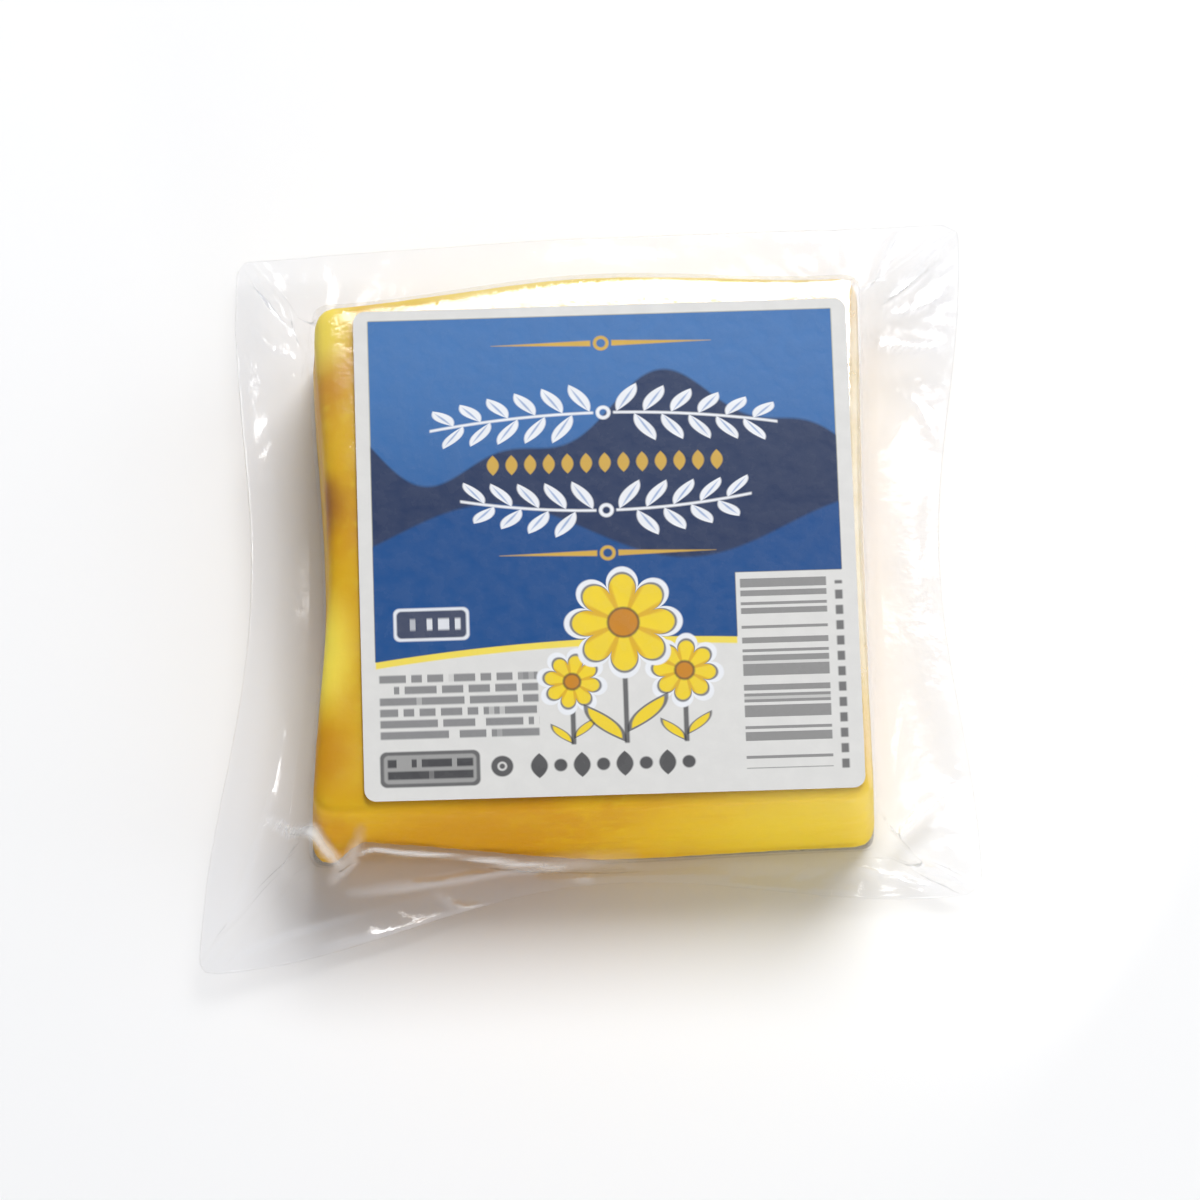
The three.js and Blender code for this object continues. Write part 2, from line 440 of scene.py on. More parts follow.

# Creases pressed into the film: a path over the table, height, half the width, and whiteness, which is
# partly the milkiness of creased film and partly painted glints
creases = [
    ([(-53.0, -38.4), (-46.9, -43.2), (-41.1, -46.8)], 0.9, 0.7, 0.9),
    ([(-43.8, -48.6), (-38.0, -43.6)], 0.9, 0.8, 0.5),
    ([(-40.8, -50.2), (-28, -48.4), (-16.0, -46.6), (5.5, -46.0)], 0.7, 0.9, 0.45),
    ([(-46, -58.6), (-34, -56.2), (-20.6, -52.0)], 0.45, 0.8, 0.3),
    ([(-27, -50.2), (-22, -53.0), (-14, -52.6)], 0.5, 1.1, 0.3),
    ([(-50.2, -20), (-52.2, -33), (-57.5, -50), (-64, -61.8)], 0.7, 0.9, 0.15),
    ([(-36, -52.5), (-50, -56.5), (-62.5, -61.5)], 0.5, 0.8, 0.2),
    ([(47.0, -44.2), (51.0, -39.6), (55.4, -36.6)], 0.9, 0.9, 0.8),
    ([(46.8, -45.4), (53.0, -49.4), (60.2, -52.4)], 0.8, 0.8, 0.3),
    ([(40, -47.5), (49, -50.6), (57, -52)], 0.5, 0.8, 0.2),
    ([(47.2, 40.6), (52.0, 40.2), (58.4, 40.4)], 1.0, 0.9, 0.5),
    ([(48.8, 47.2), (54.0, 51.8), (60.8, 59.6)], 0.9, 1.0, 0.5),
    ([(49.2, 45.2), (54.8, 47.0), (60.0, 50.2)], 0.6, 0.7, 0.4),
    ([(47.0, 48.4), (49.6, 54.0), (53.0, 60.4)], 0.7, 0.8, 0.4),
    ([(50.6, 33.6), (54.6, 30.4), (57.4, 24.0)], 0.4, 0.9, 0.2),
    ([(-46.2, 44.0), (-50.4, 50.6), (-55.0, 58.8)], 0.7, 0.9, 0.2),
    ([(-46.8, 41.6), (-51.6, 43.8), (-54.6, 49.0)], 0.5, 0.8, 0.2),
]

# The same over the front side, where a path's points are places along the side and heights; its whiteness is
# a painted highlight along the bend where the film leaves the front side
frontCreases = [
    ([(-39.5, 10.8), (-36.5, 11.6), (-25.8, 8.6), (-15, 5.8), (-2, 3.4)], 0.25, 0.6, 1.0),
]

# How little of a crease is left at its very ends, and how it fades lengthways and sideways
creaseForm = {'endsLeft': 0.05, 'endPower': 0.6, 'sidePower': 1.4}


def aroundPouch(values):
    # a smooth blend round the outline of eight values, given at corners and mid-sides in turn
    place = everyStep / stepsAround * len(values)
    first = place.astype(int)
    share = (1 - np.cos(np.pi * (place - first))) / 2
    values = np.array(values)
    return values[first] * (1 - share) + values[(first + 1) % len(values)] * share


def joinRings(flat, heights):
    return np.column_stack([flat, np.broadcast_to(heights, stepsAround)])


def onEdge(z, drawnIn):
    points = outlineAt(z)
    points -= points / np.linalg.norm(points, axis=1)[:, None] * drawnIn
    return joinRings(points, z - shoulderDrop(drawnIn, z / block['height']))


def onPleat(fromZ, target, share):
    # between the wall at a height and the border, sagging inwards as stretched film does
    heights = fromZ * (1 - share) + target[:, 2] * share
    offset = target[:, :2] - outlineAt(target[:, 2])
    return joinRings(outlineAt(heights) + offset * (share ** aroundPouch(film['sag']))[:, None], heights)


def borderWave(out):
    turn = 2 * np.pi * everyStep / quarterSteps
    nearCorner = 1 - 2 * np.abs(toCorner)

    def oneWave(wave):
        return wave['height'] * np.sin(wave['count'] * turn + wave['start'] + wave['lean'] * out)

    growth = math.sin(math.pi * min(out, film['waveSettles']))
    return (oneWave(film['longWave']) + nearCorner ** 2 * oneWave(film['cornerCrinkle'])) * growth


def borderRing(out):
    # one ring of the border, from 0 where it leaves the block to 1 at its rim
    leavesAt = aroundPouch(film['leavesAt'])
    start = outlineAt(leavesAt)
    outwards = rimOutline - start
    outwards /= np.linalg.norm(outwards, axis=1)[:, None]
    corner = np.round(everyStep / quarterSteps).astype(int) % 4
    pleat = np.array(film['pleatReach'])[corner] * np.exp(-(toCorner / film['pleatWidth']) ** 2)
    start += outwards * (aroundPouch(film['standsOff']) + pleat)[:, None]
    heights = leavesAt * (1 - out) + aroundPouch(film['rimAt']) * out + borderWave(out)
    return joinRings(start * (1 - out) + rimOutline * out, np.maximum(heights, film['lowest']))


def distanceToPath(points, path):
    # each point's distance to a path, and how far along it the nearest place is, from 0 to 1
    nearest = np.full(points.shape[:-1], np.inf)
    along = np.zeros(points.shape[:-1])
    count = len(path) - 1
    for i in range(count):
        start, end = np.array(path[i], float), np.array(path[i + 1], float)
        way = end - start
        share = np.clip(((points - start) @ way) / (way @ way), 0, 1)
        distance = np.linalg.norm(points - start - share[..., None] * way, axis=-1)
        closer = distance < nearest
        nearest = np.where(closer, distance, nearest)
        along = np.where(closer, (i + share) / count, along)
    return nearest, along


def creaseRelief(points):
    # the height that all creases add at each point of the film, and how white they make it
    relief = np.zeros(points.shape[:-1])
    whiteness = np.zeros(points.shape[:-1])
    frontHalf = points[..., 1] < 0
    for path, height, width, white in creases + frontCreases:
        onFront = (path, height, width, white) in frontCreases
        distance, along = distanceToPath(points[..., [0, 2]] if onFront else points[..., :2], path)
        fade = np.sin(np.pi * (along * (1 - 2 * creaseForm['endsLeft']) + creaseForm['endsLeft']))
        fade = fade ** creaseForm['endPower'] * (frontHalf if onFront else 1)
        aside = distance / width
        relief += height * fade * np.exp(-aside ** creaseForm['sidePower'])
        whiteness = np.maximum(whiteness, white * fade * np.exp(-aside ** 2))
    return relief, whiteness


# Sharp little ridges run out from the block's corners, and the film is softly uneven all over
crinkle = {
    'soft': 0.28,
    'softSize': 9,
    'height': 0.55,
    'sharpness': 3.2,
    'around': 5.2,
    'length': 26,
    'tall': 14,
    'highestAt': 7,
    'spread': 10,
    'reach': 24,
    'cornersApart': (7, 3.1),  # in the noise, so that no two corners are alike
}


def crinkles(points):
    size, length, tall = crinkle['softSize'], crinkle['length'], crinkle['tall']
    apart, lift = crinkle['cornersApart']
    relief = np.zeros(points.shape[:-1])
    for row in range(points.shape[0]):
        for step in range(points.shape[1]):
            x, y, z = points[row, step]
            total = crinkle['soft'] * noise.noise((x / size, y / size, z / size + 5))
            for i, (cornerX, cornerY) in enumerate(block['corners']):
                awayX, awayY = x - cornerX, y - cornerY
                reach = math.hypot(awayX, awayY)
                if reach > crinkle['reach']:
                    continue
                angle = math.atan2(awayY, awayX) * crinkle['around']
                ripple = noise.noise((angle + i * apart, reach / length, z / tall + i * lift))
                ridge = (1 - min(1, abs(ripple) * crinkle['sharpness'])) ** 2
                fade = math.exp(-((reach - crinkle['highestAt']) / crinkle['spread']) ** 2)
                total += crinkle['height'] * ridge * fade
            relief[row, step] = total
    return relief


def pushAlongNormals(grid, amount):
    # moves a grid of rings along its own normals
    around = np.roll(grid, -1, axis=1) - np.roll(grid, 1, axis=1)
    down = np.gradient(grid, axis=0)
    normals = np.cross(down, around)
    normals /= np.maximum(np.linalg.norm(normals, axis=2), 1e-9)[..., None]
    return grid + normals * amount[..., None]


def paintedGlareAt(inside):
    # how strong the painted glare, a milky sheen standing in for the lamp's reflection, is at a distance
    # inside the block's outline
    return aroundPouch(film['glareSides']) * max(0, 1 - inside / film['glareWidth']) ** 0.5


def filmRings():
    # every ring of the pouch, from the top over the edge, down the wall, out along the border
    # and back beneath it to the base
    height = block['height']
    radius = block['topEdgeRadius']
    upper, slack, paintedGlare = [], [], []

    def addRing(ring, slackness, glareShare):
        upper.append(ring)
        slack.append(np.full(stepsAround, slackness))
        paintedGlare.append(glareShare)

    for k in range(film['topRings'], 0, -1):
        inside = radius + k * film['topRingStep']
        addRing(onEdge(height, inside), 0.0, paintedGlareAt(inside))
    for k in range(film['edgeRings'] + 1):
        angle = math.pi / 2 * k / film['edgeRings']
        inside = radius * (1 - math.sin(angle))
        addRing(onEdge(height - radius * (1 - math.cos(angle)), inside), 0.0, paintedGlareAt(inside))
    spring = borderRing(0)
    wallTop = upper[-1][0][2]
    for k in range(1, film['wallRings']):
        share = k / film['wallRings']
        glareShare = paintedGlareAt(0) * min(1, film['glareFalls'] * (1 - share))
        addRing(onPleat(wallTop, spring, share), share ** film['slackPower'] * film['slopeSlack'], glareShare)
    none = np.zeros(stepsAround)
    for k in range(film['borderRings'] + 1):
        out = k / film['borderRings']
        more = (1 - film['slopeSlack']) * min(1, out / film['slackWithin'])
        addRing(borderRing(out), film['slopeSlack'] + more, none)
    upper = np.array(upper)
    slack = np.array(slack)
    relief, whiteness = creaseRelief(upper)
    whiteness *= np.minimum(1, slack / film['whiteFrom'])
    upper = pushAlongNormals(upper, (relief + crinkles(upper)) * slack)

    borderStart = len(upper) - film['borderRings'] - 1
    lower = upper[:borderStart - 1:-1] - np.array([0, 0, film['thickness']])
    rings = list(upper) + list(lower)
    marks = [*whiteness] + [none] * len(lower)
    slackness = [*slack, *slack[:borderStart - 1:-1]]
    paintedGlare += [none] * len(lower)
    base = block['baseEdgeRadius']
    for k in range(film['lowerWallRings'] - 1, 0, -1):
        rings.append(onPleat(base, lower[-1], k / film['lowerWallRings']))
    for k in range(film['baseRings'] + 1):
        angle = math.pi / 2 * k / film['baseRings']
        rings.append(onEdge(base * (1 - math.sin(angle)), base * (1 - math.cos(angle))))
    plain = [none] * (len(rings) - len(marks))
    return np.array(rings), {
        'crease': np.array(marks + plain),
        'slack': np.array(slackness + plain),
        'paintedGlare': np.array(paintedGlare + plain),
    }


def rimDistance(rings):
    # how far each point lies inside the pouch's rim, in millimetres
    return distanceToPath(rings[..., :2], [*rimOutline[::4], rimOutline[0]])[0]


def makeFilm():
    rings, fields = filmRings()
    sealStart = film['sealWidth'] - film['sealEdge']
    fields['seal'] = 1 - smoothStep(rimDistance(rings), sealStart, film['sealWidth'])
    count = len(rings)
    deselectAll()
    bpy.ops.mesh.primitive_cylinder_add(vertices=stepsAround, radius=1, depth=1, end_fill_type='TRIFAN')
    thing = nameNew('filmPouch')
    bpy.ops.object.mode_set(mode='EDIT')
    pick(thing, 'EDGE', lambda a, b: abs(a.z - b.z) > 0.5)
    bpy.ops.mesh.subdivide(number_cuts=count - 2)
    bpy.ops.object.mode_set(mode='OBJECT')
    for name in fields:
        thing.data.attributes.new(name, 'FLOAT', 'POINT')
    attributes = {name: thing.data.attributes[name] for name in fields}
    # each point of the plain cylinder goes to its ring by its height and to its step by its angle
    for corner in thing.data.vertices:
        x, y, z = corner.co
        ring = round((0.5 - z) * (count - 1))
        if math.hypot(x, y) < 0.5:
            place = (0, 0, rings[ring][0][2])
        else:
            step = round(math.atan2(y, x) / (2 * math.pi) * stepsAround) % stepsAround
            place = rings[ring][step]
            for name, field in fields.items():
                attributes[name].data[corner.index].value = field[ring][step]
        corner.co = Vector(place) * mm + blockMiddle
    bakePlace(thing)
    return thing


filmPouch = makeFilm()
print('film pouch shaped,', len(filmPouch.data.polygons), 'faces')


# The label

def makeLabel():
    deselectAll()
    width, length = labelSheet['width'], labelSheet['length']
    across, along = (round(size / labelSheet['gridStep']) for size in (width, length))
    bpy.ops.mesh.primitive_grid_add(x_subdivisions=across, y_subdivisions=along, size=1)
    thing = nameNew('labelSheet')
    thing.scale = (width * mm, length * mm, 1)
    bpy.ops.object.transform_apply(location=False, rotation=False, scale=True)
    bpy.ops.object.mode_set(mode='EDIT')
    halfWidth, halfLength = width / 2 * mm, length / 2 * mm
    nearly = 0.99
    pick(thing, 'VERT', lambda point: (
        abs(point.x) > halfWidth * nearly and abs(point.y) > halfLength * nearly))
    bpy.ops.mesh.bevel(
        offset=labelSheet['cornerRadius'] * mm, affect='VERTICES', segments=labelSheet['cornerSegments'])
    bpy.ops.object.mode_set(mode='OBJECT')
    size = labelSheet['rippleSize'] * mm
    for corner in thing.data.vertices:
        ripple = noise.noise((corner.co.x / size, corner.co.y / size, labelSheet['rippleSeed']))
        u, v = abs(corner.co.x) / halfWidth, abs(corner.co.y) / halfLength
        lift = labelSheet['cornerLift'] * (u * v) ** labelSheet['liftPower']
        corner.co.z += (labelSheet['ripple'] * (0.5 + ripple / 2) + lift) * mm
    applyModifier(thing, 'SOLIDIFY', thickness=labelSheet['thickness'] * mm, offset=1)
    thing.location = (labelMiddle.x, labelMiddle.y, labelLow.z)
    thing.rotation_euler.z = math.radians(labelSheet['turnDegrees'])
    bakePlace(thing)
    bpy.ops.object.shade_smooth_by_angle(angle=math.radians(labelSheet['sharpDegrees']))
    return thing


printedLabel = makeLabel()
print('label shaped,', len(printedLabel.data.polygons), 'faces')


# Cheddar: waxy and a little see-through, with its own uneven tone, and soft fields of painted light and
# shade along its sides

cheddarLook = {
    # deep, middle and pale are the cheese's own tones; pale and deep also serve as painted light and shade
    # in the fields below, light serves only as painted glow, and the darkest tone only as painted shade
    'deep': srgb(202, 143, 12),
    'middle': srgb(217, 170, 22),
    'pale': srgb(230, 203, 54),
    'light': srgb(244, 222, 82),
    'paintedShade': srgb(156, 98, 34),
    'cloud': {'scale': 0.045, 'detail': 4},
    'grain': {'scale': 0.6, 'detail': 6, 'roughness': 0.6},
    'streaks': {'scale': 0.22, 'stretch': (0.25, 0.25, 2.2)},
    # between which values of each the colours change, and how much at most
    'cloudSpan': (0.35, 0.62),
    'grainSpan': (0.5, 0.75),
    'streakSpan': (0.55, 0.75),
    'grainPale': 0.35,
    'streaksDeep': 0.35,
    'roughness': (0.34, 0.52),
    'shine': 0.05,
    'scatter': 0.15,
    'scatterRadius': (1.0, 0.65, 0.2),
    'scatterScale': 3 * mm,
    'bump': 0.35,
    'bumpDepth': 0.4 * mm,
    'grainHeight': 0.5,
    # soft fields of painted light and shade along the sides: colour, middle, reach along each axis and
    # strength
    'fieldUneven': 0.8,
    'fieldFull': 0.25,
    'fields': [
        ('pale', (42, -44, 12), (46, 14, 30), 0.75),
        ('deep', (-26, -44, 10), (22, 12, 30), 0.85),
        ('light', (-44, -16, 26), (8, 15, 14), 1.0),
        ('deep', (-45, -33, 24), (8, 9, 16), 0.9),
        ('paintedShade', (-45, 9.5, 24), (8, 8, 14), 1.0),
        ('light', (-43, 41, 26), (8, 11, 12), 0.9),
        ('pale', (0, 47, 26), (70, 10, 24), 0.9),
        ('pale', (47, 0, 26), (10, 70, 24), 0.9),
    ],
}


def makeCheddar():
    material, tree = newMaterial('cheddar')
    look = cheddarLook
    place = millimetrePlace(tree, blockMiddle)
    cloud, grain, streaks = (noiseAt(tree, place, **look[name]) for name in ('cloud', 'grain', 'streaks'))
    clouded = remap(tree, cloud, *look['cloudSpan'], 0, 1)
    colour = mixColours(tree, clouded, look['deep'], look['middle'])
    paler = remap(tree, grain, *look['grainSpan'], 0, look['grainPale'])
    colour = mixColours(tree, paler, colour, look['pale'])
    deeper = remap(tree, streaks, *look['streakSpan'], 0, look['streaksDeep'])
    colour = mixColours(tree, deeper, colour, look['deep'])
    uneven = maths(tree, 'SUBTRACT', cloud, 0.5)
    # painted light and shade: pale fields are painted glare on the back and right margins and painted light
    # on the front's right; light fields are painted glow on the left edge; deep and darker fields are
    # painted shade on the left margin and the front's left
    for tone, middle, reach, strength in look['fields']:
        away = vectors(tree, 'DIVIDE', vectors(tree, 'SUBTRACT', place, middle), reach)
        away = maths(tree, 'MULTIPLY_ADD', uneven, look['fieldUneven'], vectors(tree, 'LENGTH', away))
        share = remap(tree, away, look['fieldFull'], 1.0, strength, 0)
        colour = mixColours(tree, share, colour, look[tone])
    height = maths(tree, 'MULTIPLY_ADD', grain, look['grainHeight'], streaks)
    shader = addNode(tree, 'BsdfPrincipled', {
        'Base Color': colour,
        'Roughness': remap(tree, grain, *usualNoise, *look['roughness']),
        'Subsurface Weight': look['scatter'],
        'Subsurface Radius': look['scatterRadius'],
        'Subsurface Scale': look['scatterScale'],
        'Specular IOR Level': look['shine'],
        'Normal': bumps(tree, height, look['bump'], look['bumpDepth']),
    })
    showShader(tree, shader)
    return material


# Film: clear, glossy, a little milky where it is creased or sealed; the creases' whiteness is partly painted
# glints, and painted glare lies as milkiness over the back and right margins

filmLook = {
    # shares of gloss: seen face on, seen edge on, and how fast it grows between
    'faceOnGloss': 0.012,
    'edgeOnGloss': 0.22,
    'edgePower': 5.0,
    # milkiness of the creases, partly painted glints, of the sealed rim, and the painted glare over the back
    # and right margins
    'creaseHazeAndGlint': 0.75,
    'sealHaze': 0.015,
    'glareHaze': 0.6,
    'patches': (0.85, 1.1),
    'tint': (0.968, 0.968, 0.97, 1),
    'gloss': (0.98, 0.98, 0.98, 1),
    'metallic': (0.95, 0.3),
    'roughness': (0.08, 0.2),
    'wrinkles': {'scale': 0.16, 'detail': 5, 'roughness': 0.55},
    'fineWrinkles': {'scale': 0.55},
    'fineHeight': 0.25,
    'tightBump': 0.22,
    'slackBump': 0.3,
    'bumpDepth': 0.6 * mm,
}


def makeFilmMaterial():
    material, tree = newMaterial('clearFilm')
    look = filmLook
    place = millimetrePlace(tree, blockMiddle)
    crease, slack, seal, paintedGlare = (
        addNode(tree, 'Attribute', attribute_name=name).outputs['Fac']
        for name in ('crease', 'slack', 'seal', 'paintedGlare')
    )
    wrinkle = noiseAt(tree, place, **look['wrinkles'])
    fine = noiseAt(tree, place, **look['fineWrinkles'])
    relief = maths(tree, 'MULTIPLY_ADD', fine, look['fineHeight'], wrinkle)
    depth = maths(tree, 'MULTIPLY_ADD', slack, look['slackBump'], look['tightBump'])
    relief = maths(tree, 'MULTIPLY', relief, depth)
    normal = bumps(tree, relief, 1.0, look['bumpDepth'])
    # the creases' milkiness, partly real and partly painted glints
    haze = remap(tree, crease, 0.05, 1.0, 0, look['creaseHazeAndGlint'], smooth=False)
    haze = maths(tree, 'MULTIPLY_ADD', seal, look['sealHaze'], haze)
    # painted glare: a milky sheen over the back and right margins, broken into patches, standing in for the
    # lamp's reflection
    paintedGlare = maths(tree, 'MULTIPLY', paintedGlare, remap(tree, wrinkle, *usualNoise, *look['patches']))
    haze = maths(tree, 'MULTIPLY_ADD', paintedGlare, look['glareHaze'], haze)
    facing = addNode(tree, 'LayerWeight', {'Blend': 0.5, 'Normal': normal}).outputs['Facing']
    share = maths(tree, 'MULTIPLY', maths(tree, 'POWER', facing, look['edgePower']), look['edgeOnGloss'])
    share = maths(tree, 'ADD', share, look['faceOnGloss'])
    share = maths(tree, 'ADD', share, haze, clamp=True)
    clear = addNode(tree, 'BsdfTransparent', {'Color': look['tint']})
    gloss = addNode(tree, 'BsdfPrincipled', {
        'Base Color': look['gloss'],
        'Metallic': remap(tree, haze, 0, 0.3, *look['metallic'], smooth=False),
        'Roughness': remap(tree, wrinkle, *usualNoise, *look['roughness']),
        'Normal': normal,
    })
    mix = addNode(tree, 'MixShader')
    tree.links.new(share, mix.inputs[0])
    tree.links.new(clear.outputs[0], mix.inputs[1])
    tree.links.new(gloss.outputs[0], mix.inputs[2])
    showShader(tree, mix)
    return material


# The label's print: every shape is a mask of place. Places are in millimetres from the label's
# middle, and boxes are given as left, low, right and high

def finishMask(group, outside):
    # turns the distance outside a shape into its mask, with a soft edge
    edge = maths(group, 'DIVIDE', outside, labelPrint['softEdge'])
    mask = maths(group, 'SUBTRACT', 0.5, edge, clamp=True)
    group.links.new(mask, group.nodes.new('NodeGroupOutput').inputs['Mask'])
    return group


def makeBoxMask():
    group, given = newMask('printedBox', ['Place', 'Centre', 'Half Size'], ['Corner Radius'])
    away = vectors(group, 'ABSOLUTE', vectors(group, 'SUBTRACT', given['Place'], given['Centre']))
    inner = vectors(group, 'SUBTRACT', given['Half Size'], given['Corner Radius'])
    past = vectors(group, 'MAXIMUM', vectors(group, 'SUBTRACT', away, inner), (0, 0, 0))
    distance = vectors(group, 'LENGTH', vectors(group, 'MULTIPLY', past, (1, 1, 0)))
    return finishMask(group, maths(group, 'SUBTRACT', distance, given['Corner Radius']))


def makeRingMask():
    group, given = newMask('printedRing', ['Place', 'Centre'], ['Radius', 'Half Width'])
    away = vectors(group, 'LENGTH', vectors(group, 'SUBTRACT', given['Place'], given['Centre']))
    outside = maths(group, 'ABSOLUTE', maths(group, 'SUBTRACT', away, given['Radius']))
    return finishMask(group, maths(group, 'SUBTRACT', outside, given['Half Width']))


def makeLeafMask():
    # a pointed leaf that leans over to one side
    group, given = newMask('printedLeaf', ['Place', 'Centre', 'Half Size'], ['Lean'])
    away = splitUp(group, vectors(group, 'SUBTRACT', given['Place'], given['Centre']))
    half = splitUp(group, given['Half Size'])
    upright = maths(group, 'SUBTRACT', away[0], maths(group, 'MULTIPLY', away[1], given['Lean']))
    tall = maths(group, 'DIVIDE', away[1], half[1])
    wide = maths(group, 'DIVIDE', maths(group, 'ABSOLUTE', upright), half[0])
    reach = maths(group, 'ADD', maths(group, 'MULTIPLY', tall, tall), wide)
    return finishMask(group, maths(group, 'MULTIPLY', maths(group, 'SUBTRACT', reach, 1.0), half[0]))


labelPrint = {
    'softEdge': 0.28,
    'boxRadius': 0.2,
    'paper': srgb(218, 217, 214),
    'blueTop': srgb(60, 112, 172),
    'blueLow': srgb(0, 72, 134),
    'hill': srgb(20, 38, 74),
    'nearHill': srgb(0, 70, 132),
    'gold': srgb(206, 166, 70),
    'white': srgb(232, 234, 238),
    'leafShade': srgb(150, 170, 205),
    'stripe': srgb(236, 214, 84),
    'flower': srgb(236, 206, 44),
    'flowerHeart': srgb(196, 128, 26),
    'ink': srgb(44, 44, 48),
    'greyInk': srgb(112, 112, 114),
    'middle': 0.1,
    # the blue field, the heights its blue changes between, its bowed lower edge with the yellow
    # stripe beneath it, and the white corner cut out of it
    'field': (-37.5, -41, 37.4, 40.1),
    'fade': (-16, 38),
    'curve': {'middle': 5, 'top': -15.3, 'drop': 0.0017, 'stripe': 1.2},
    'cutCorner': (20.3, -60, 60, -4.8),
    # rows of hills: level, waves as height, pace and start, colour and strength
    'hills': [
        (20.5, [(7.5, 0.088, 0.5), (2.6, 0.24, -0.6)], 'hill', 0.94),
        (3.0, [(5.0, 0.1, 3.4)], 'nearHill', 1.0),
    ],
    'hillEdge': 0.6,
    # tapering rules: place and reach
    'rules': [(35.2, 17.8), (-0.9, 17.4)],
    'rule': {'halfWidth': 0.55, 'gap': 1.7, 'ring': (1.0, 0.28)},
    'lozenges': {'pitch': 3.0, 'reach': 19.5, 'place': 14.6, 'halfRow': 2.6, 'size': (0.95, 1.7)},
    # garlands: place of the ends, bow, reach and pitch of the leaves
    'garlands': [(20.8, 2.4, 28.0, 4.4), (8.6, -2.2, 23.4, 4.35)],
    'sprig': {
        'gap': 1.6, 'halfStem': 0.22, 'taper': 0.4, 'stagger': 0.35, 'lean': 0.62, 'ring': (0.9, 0.3),
        # a leaf and its vein: distance from the stem, half width, half length and colour
        'leaf': [(2.85, 1.25, 2.6, 'white'), (2.6, 0.2, 1.9, 'leafShade')],
    },
    # plain boxes: box, corner radius, colour and strength
    'boxes': [
        ((-34.5, -15.0, -22.4, -9.4), 1.0, 'white', 0.9),
        ((-34.0, -14.5, -22.9, -9.9), 0.8, 'hill', 0.95),
        ((-37.2, -39.6, -21.3, -33.6), 1.1, 'ink', 0.85),
        ((-36.6, -39.0, -21.9, -34.2), 0.8, 'paper', 0.35),
    ],
    # lines of dashes: box, pitch of the lines and of the dashes, seed, colour and strength
    'dashes': [
        ((-33.2, -13.6, -23.8, -10.8), 2.8, 0.9, 5.0, 'white', 0.85),
        ((-37.0, -31.8, -11.7, -20.4), 1.9, 0.85, 6.0, 'greyInk', 0.85),
        ((-36.0, -38.6, -22.4, -34.6), 2.0, 0.8, 7.0, 'ink', 0.9),
    ],
    'dash': {'gaps': 0.2, 'halfHeight': 0.34, 'endEdge': 0.05, 'sideEdge': 0.16},
    'rings': [(-17.8, -36.5, 1.25, 0.5), (-17.8, -36.5, 0.0, 0.45)],
    'beads': {'pitch': 3.4, 'start': -13.6, 'place': -36.6, 'row': (-13.7, -40, 13.7, -33),
              'bead': 1.05, 'lozenge': (1.35, 2.1)},
    # daisies: place, size and turn
    'daisies': [(-6.3, -22.6, 4.4, 0.2), (11.7, -21.2, 5.0, 0.1), (2.2, -12.8, 8.2, 0.0)],
    'daisy': {
        'foot': -33.2, 'halfStem': 0.4, 'stemEdge': 0.5, 'petals': 8, 'notch': 0.4, 'fullness': 0.55,
        # as shares of its size: leaves out and up, outer and inner half size, and the heart
        'leafOut': 0.42, 'leafUp': (0.52, 0.1), 'leafEdge': (0.24, 0.4), 'leaf': (0.18, 0.32), 'heart': 0.3,
        # rims round the petals: how much wider, colour and strength
        'rims': [(1.3, 'white', 1.0), (0.4, 'ink', 0.8), (0.0, 'flower', 1.0)],
        'shadeFrom': 0.45, 'shadeEdge': 0.3, 'heartLine': 0.2,
    },
    'bars': {'box': (21.1, -38.1, 34.8, -5.7), 'radius': 0.05, 'pitch': 0.5, 'gaps': 0.47, 'edge': 0.02,
             'seed': 9.0},
    'sideDashes': {'box': (36.2, -38.6, 37.4, -6.7), 'pitch': 2.6, 'halfHeight': 0.3, 'edge': 0.1},
    'grain': {'scale': 0.35, 'detail': 4},
    'grainTint': 0.06,
    'bump': 0.25,
    'bumpDepth': 0.15 * mm,
    'roughness': (0.22, 0.3),
    'shine': 0.12,
}


